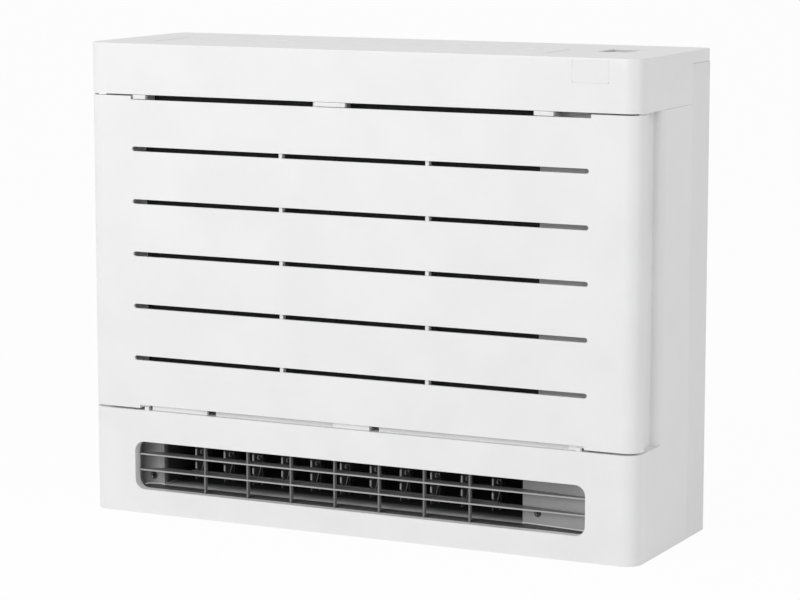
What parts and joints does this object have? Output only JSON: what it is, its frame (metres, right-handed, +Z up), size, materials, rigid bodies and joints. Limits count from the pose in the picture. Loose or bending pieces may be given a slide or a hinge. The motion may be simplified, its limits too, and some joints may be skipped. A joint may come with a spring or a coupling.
{
  "type": "floor standing air conditioner",
  "caption": "Low white console air conditioner with a slotted tilting front panel, top flap, side grooves and a grilled lower outlet with upright louvers.",
  "frame": {"origin": "on the floor, under the middle of the cabinet's width and depth", "axes": "+X to the right seen from the front, +Y to the back, +Z up; the front panel faces -Y"},
  "size_m": [0.75, 0.238, 0.6],
  "materials": {
    "cabinet_white": "moulded, fine satin",
    "casing_off_white": "moulded, matte",
    "window_grey": "polished, translucent",
    "grille_grey": "moulded, matte",
    "duct_grey": "moulded, matte",
    "louver_dark": "moulded, matte",
    "filter_black": "moulded, matte",
    "filter_foam": "pleated fibre",
    "coil_aluminium": "stamped foil",
    "coil_copper": "drawn tube and plate",
    "fitting_brass": "turned",
    "sheet_steel": "zinc coated",
    "circuit_board": "lacquered"
  },
  "bodies": {
    "cabinet": {"front_casing": "cabinet_white", "top_cover": "cabinet_white", "rear_casing": "casing_off_white", "wall_bracket": "sheet_steel", "intake_frame": "cabinet_white", "filter_left": "filter_black", "filter_right": "filter_black", "deodorising_cartridge": "filter_foam", "fin_pack": "coil_aluminium", "return_bend_plate": "coil_copper", "header_plate": "coil_copper", "drain_pan": "casing_off_white", "gas_pipe": "coil_copper", "gas_flare_nut": "fitting_brass", "liquid_pipe": "coil_copper", "liquid_flare_nut": "fitting_brass", "bell_mouth": "casing_off_white", "fan_motor": "sheet_steel", "upper_duct": "duct_grey", "flap_motor": "casing_off_white", "upper_louver_motor": "casing_off_white", "lower_duct": "duct_grey", "outlet_grille": "grille_grey", "lower_louver_motor": "casing_off_white", "damper_motor": "casing_off_white", "display_window": "window_grey", "display_board": "circuit_board", "button_tray": "grille_grey", "electrical_box": "sheet_steel", "electrical_cover": "sheet_steel", "control_board": "circuit_board", "terminal_block": "filter_black"},
    "front_panel": {"front_panel": "cabinet_white"},
    "latch_left": {"panel_latch_left": "cabinet_white"},
    "latch_right": {"panel_latch_right": "cabinet_white"},
    "flap": {"top_flap": "cabinet_white"},
    "fan": {"fan_wheel": "casing_off_white", "fan_shaft": "sheet_steel", "fan_nut": "sheet_steel"},
    "damper": {"lower_damper": "duct_grey"},
    "button": {"power_button": "window_grey"},
    "upper_bar": {"upper_tie_bar": "duct_grey"},
    "lower_bar": {"lower_tie_bar": "duct_grey"},
    "upper_blade_1": {"upper_louver_1": "louver_dark"},
    "upper_blade_2": {"upper_louver_2": "louver_dark"},
    "upper_blade_3": {"upper_louver_3": "louver_dark"},
    "upper_blade_4": {"upper_louver_4": "louver_dark"},
    "upper_blade_5": {"upper_louver_5": "louver_dark"},
    "upper_blade_6": {"upper_louver_6": "louver_dark"},
    "lower_blade_1": {"lower_louver_1": "louver_dark"},
    "lower_blade_2": {"lower_louver_2": "louver_dark"},
    "lower_blade_3": {"lower_louver_3": "louver_dark"},
    "lower_blade_4": {"lower_louver_4": "louver_dark"},
    "lower_blade_5": {"lower_louver_5": "louver_dark"},
    "lower_blade_6": {"lower_louver_6": "louver_dark"},
    "lower_blade_7": {"lower_louver_7": "louver_dark"},
    "lower_blade_8": {"lower_louver_8": "louver_dark"},
    "lower_blade_9": {"lower_louver_9": "louver_dark"},
    "lower_blade_10": {"lower_louver_10": "louver_dark"},
    "lower_blade_11": {"lower_louver_11": "louver_dark"}
  },
  "joints": [
    {"name": "panel_tilt", "type": "hinge", "parent": "cabinet", "child": "front_panel", "pos_m": [0, -0.1145, 0.1392], "axis": [1, 0, 0], "range_deg": [0, 60]},
    {"name": "latch_left_slide", "type": "slide", "parent": "cabinet", "child": "latch_left", "axis": [1, 0, 0], "range_m": [0, 0.01]},
    {"name": "latch_right_slide", "type": "slide", "parent": "cabinet", "child": "latch_right", "axis": [-1, 0, 0], "range_m": [0, 0.01]},
    {"name": "flap_swing", "type": "hinge", "parent": "cabinet", "child": "flap", "pos_m": [0, 0.008, 0.592], "axis": [-1, 0, 0], "range_deg": [0, 75]},
    {"name": "fan_spin", "type": "hinge", "parent": "cabinet", "child": "fan", "pos_m": [-0.035, 0, 0.335], "axis": [0, 1, 0], "continuous": true},
    {"name": "damper_swing", "type": "hinge", "parent": "cabinet", "child": "damper", "pos_m": [0, 0.1, 0.134], "axis": [-1, 0, 0], "range_deg": [0, 85]},
    {"name": "power_press", "type": "slide", "parent": "cabinet", "child": "button", "axis": [0, 0, -1], "range_m": [0, 0.0015], "stiffness_N_per_m": 400, "springref_m": -0.0005},
    {"name": "upper_louver_turn_1", "type": "hinge", "parent": "cabinet", "child": "upper_blade_1", "pos_m": [-0.2575, 0, 0.568], "axis": [0, 1, 0], "range_deg": [-30, 30]},
    {"name": "upper_louver_turn_2", "type": "hinge", "parent": "cabinet", "child": "upper_blade_2", "pos_m": [-0.1695, 0, 0.568], "axis": [0, 1, 0], "range_deg": [-30, 30]},
    {"name": "upper_louver_turn_3", "type": "hinge", "parent": "cabinet", "child": "upper_blade_3", "pos_m": [-0.0815, 0, 0.568], "axis": [0, 1, 0], "range_deg": [-30, 30]},
    {"name": "upper_louver_turn_4", "type": "hinge", "parent": "cabinet", "child": "upper_blade_4", "pos_m": [0.0065, 0, 0.568], "axis": [0, 1, 0], "range_deg": [-30, 30]},
    {"name": "upper_louver_turn_5", "type": "hinge", "parent": "cabinet", "child": "upper_blade_5", "pos_m": [0.0945, 0, 0.568], "axis": [0, 1, 0], "range_deg": [-30, 30]},
    {"name": "upper_louver_turn_6", "type": "hinge", "parent": "cabinet", "child": "upper_blade_6", "pos_m": [0.1825, 0, 0.568], "axis": [0, 1, 0], "range_deg": [-30, 30]},
    {"name": "upper_bar_turn", "type": "hinge", "parent": "upper_blade_3", "child": "upper_bar", "pos_m": [-0.0815, -0.025, 0.5575], "axis": [0, 1, 0], "range_deg": [-30, 30]},
    {"name": "lower_louver_turn_1", "type": "hinge", "parent": "cabinet", "child": "lower_blade_1", "pos_m": [-0.258, -0.034, 0.06], "axis": [0, 0, 1], "range_deg": [-30, 30]},
    {"name": "lower_louver_turn_2", "type": "hinge", "parent": "cabinet", "child": "lower_blade_2", "pos_m": [-0.216, -0.034, 0.06], "axis": [0, 0, 1], "range_deg": [-30, 30]},
    {"name": "lower_louver_turn_3", "type": "hinge", "parent": "cabinet", "child": "lower_blade_3", "pos_m": [-0.174, -0.034, 0.06], "axis": [0, 0, 1], "range_deg": [-30, 30]},
    {"name": "lower_louver_turn_4", "type": "hinge", "parent": "cabinet", "child": "lower_blade_4", "pos_m": [-0.132, -0.034, 0.06], "axis": [0, 0, 1], "range_deg": [-30, 30]},
    {"name": "lower_louver_turn_5", "type": "hinge", "parent": "cabinet", "child": "lower_blade_5", "pos_m": [-0.09, -0.034, 0.06], "axis": [0, 0, 1], "range_deg": [-30, 30]},
    {"name": "lower_louver_turn_6", "type": "hinge", "parent": "cabinet", "child": "lower_blade_6", "pos_m": [-0.048, -0.034, 0.06], "axis": [0, 0, 1], "range_deg": [-30, 30]},
    {"name": "lower_louver_turn_7", "type": "hinge", "parent": "cabinet", "child": "lower_blade_7", "pos_m": [-0.006, -0.034, 0.06], "axis": [0, 0, 1], "range_deg": [-30, 30]},
    {"name": "lower_louver_turn_8", "type": "hinge", "parent": "cabinet", "child": "lower_blade_8", "pos_m": [0.036, -0.034, 0.06], "axis": [0, 0, 1], "range_deg": [-30, 30]},
    {"name": "lower_louver_turn_9", "type": "hinge", "parent": "cabinet", "child": "lower_blade_9", "pos_m": [0.078, -0.034, 0.06], "axis": [0, 0, 1], "range_deg": [-30, 30]},
    {"name": "lower_louver_turn_10", "type": "hinge", "parent": "cabinet", "child": "lower_blade_10", "pos_m": [0.12, -0.034, 0.06], "axis": [0, 0, 1], "range_deg": [-30, 30]},
    {"name": "lower_louver_turn_11", "type": "hinge", "parent": "cabinet", "child": "lower_blade_11", "pos_m": [0.162, -0.034, 0.06], "axis": [0, 0, 1], "range_deg": [-30, 30]},
    {"name": "lower_bar_turn", "type": "hinge", "parent": "lower_blade_6", "child": "lower_bar", "pos_m": [-0.048, -0.054, 0.046], "axis": [0, 0, 1], "range_deg": [-30, 30]}
  ],
  "couplings": [
    {"joint": "upper_louver_turn_2", "follows": "upper_louver_turn_1", "ratio": 1},
    {"joint": "upper_louver_turn_3", "follows": "upper_louver_turn_1", "ratio": 1},
    {"joint": "upper_louver_turn_4", "follows": "upper_louver_turn_1", "ratio": 1},
    {"joint": "upper_louver_turn_5", "follows": "upper_louver_turn_1", "ratio": 1},
    {"joint": "upper_louver_turn_6", "follows": "upper_louver_turn_1", "ratio": 1},
    {"joint": "upper_bar_turn", "follows": "upper_louver_turn_1", "ratio": -1},
    {"joint": "lower_louver_turn_2", "follows": "lower_louver_turn_1", "ratio": 1},
    {"joint": "lower_louver_turn_3", "follows": "lower_louver_turn_1", "ratio": 1},
    {"joint": "lower_louver_turn_4", "follows": "lower_louver_turn_1", "ratio": 1},
    {"joint": "lower_louver_turn_5", "follows": "lower_louver_turn_1", "ratio": 1},
    {"joint": "lower_louver_turn_6", "follows": "lower_louver_turn_1", "ratio": 1},
    {"joint": "lower_louver_turn_7", "follows": "lower_louver_turn_1", "ratio": 1},
    {"joint": "lower_louver_turn_8", "follows": "lower_louver_turn_1", "ratio": 1},
    {"joint": "lower_louver_turn_9", "follows": "lower_louver_turn_1", "ratio": 1},
    {"joint": "lower_louver_turn_10", "follows": "lower_louver_turn_1", "ratio": 1},
    {"joint": "lower_louver_turn_11", "follows": "lower_louver_turn_1", "ratio": 1},
    {"joint": "lower_bar_turn", "follows": "lower_louver_turn_1", "ratio": -1}
  ]
}
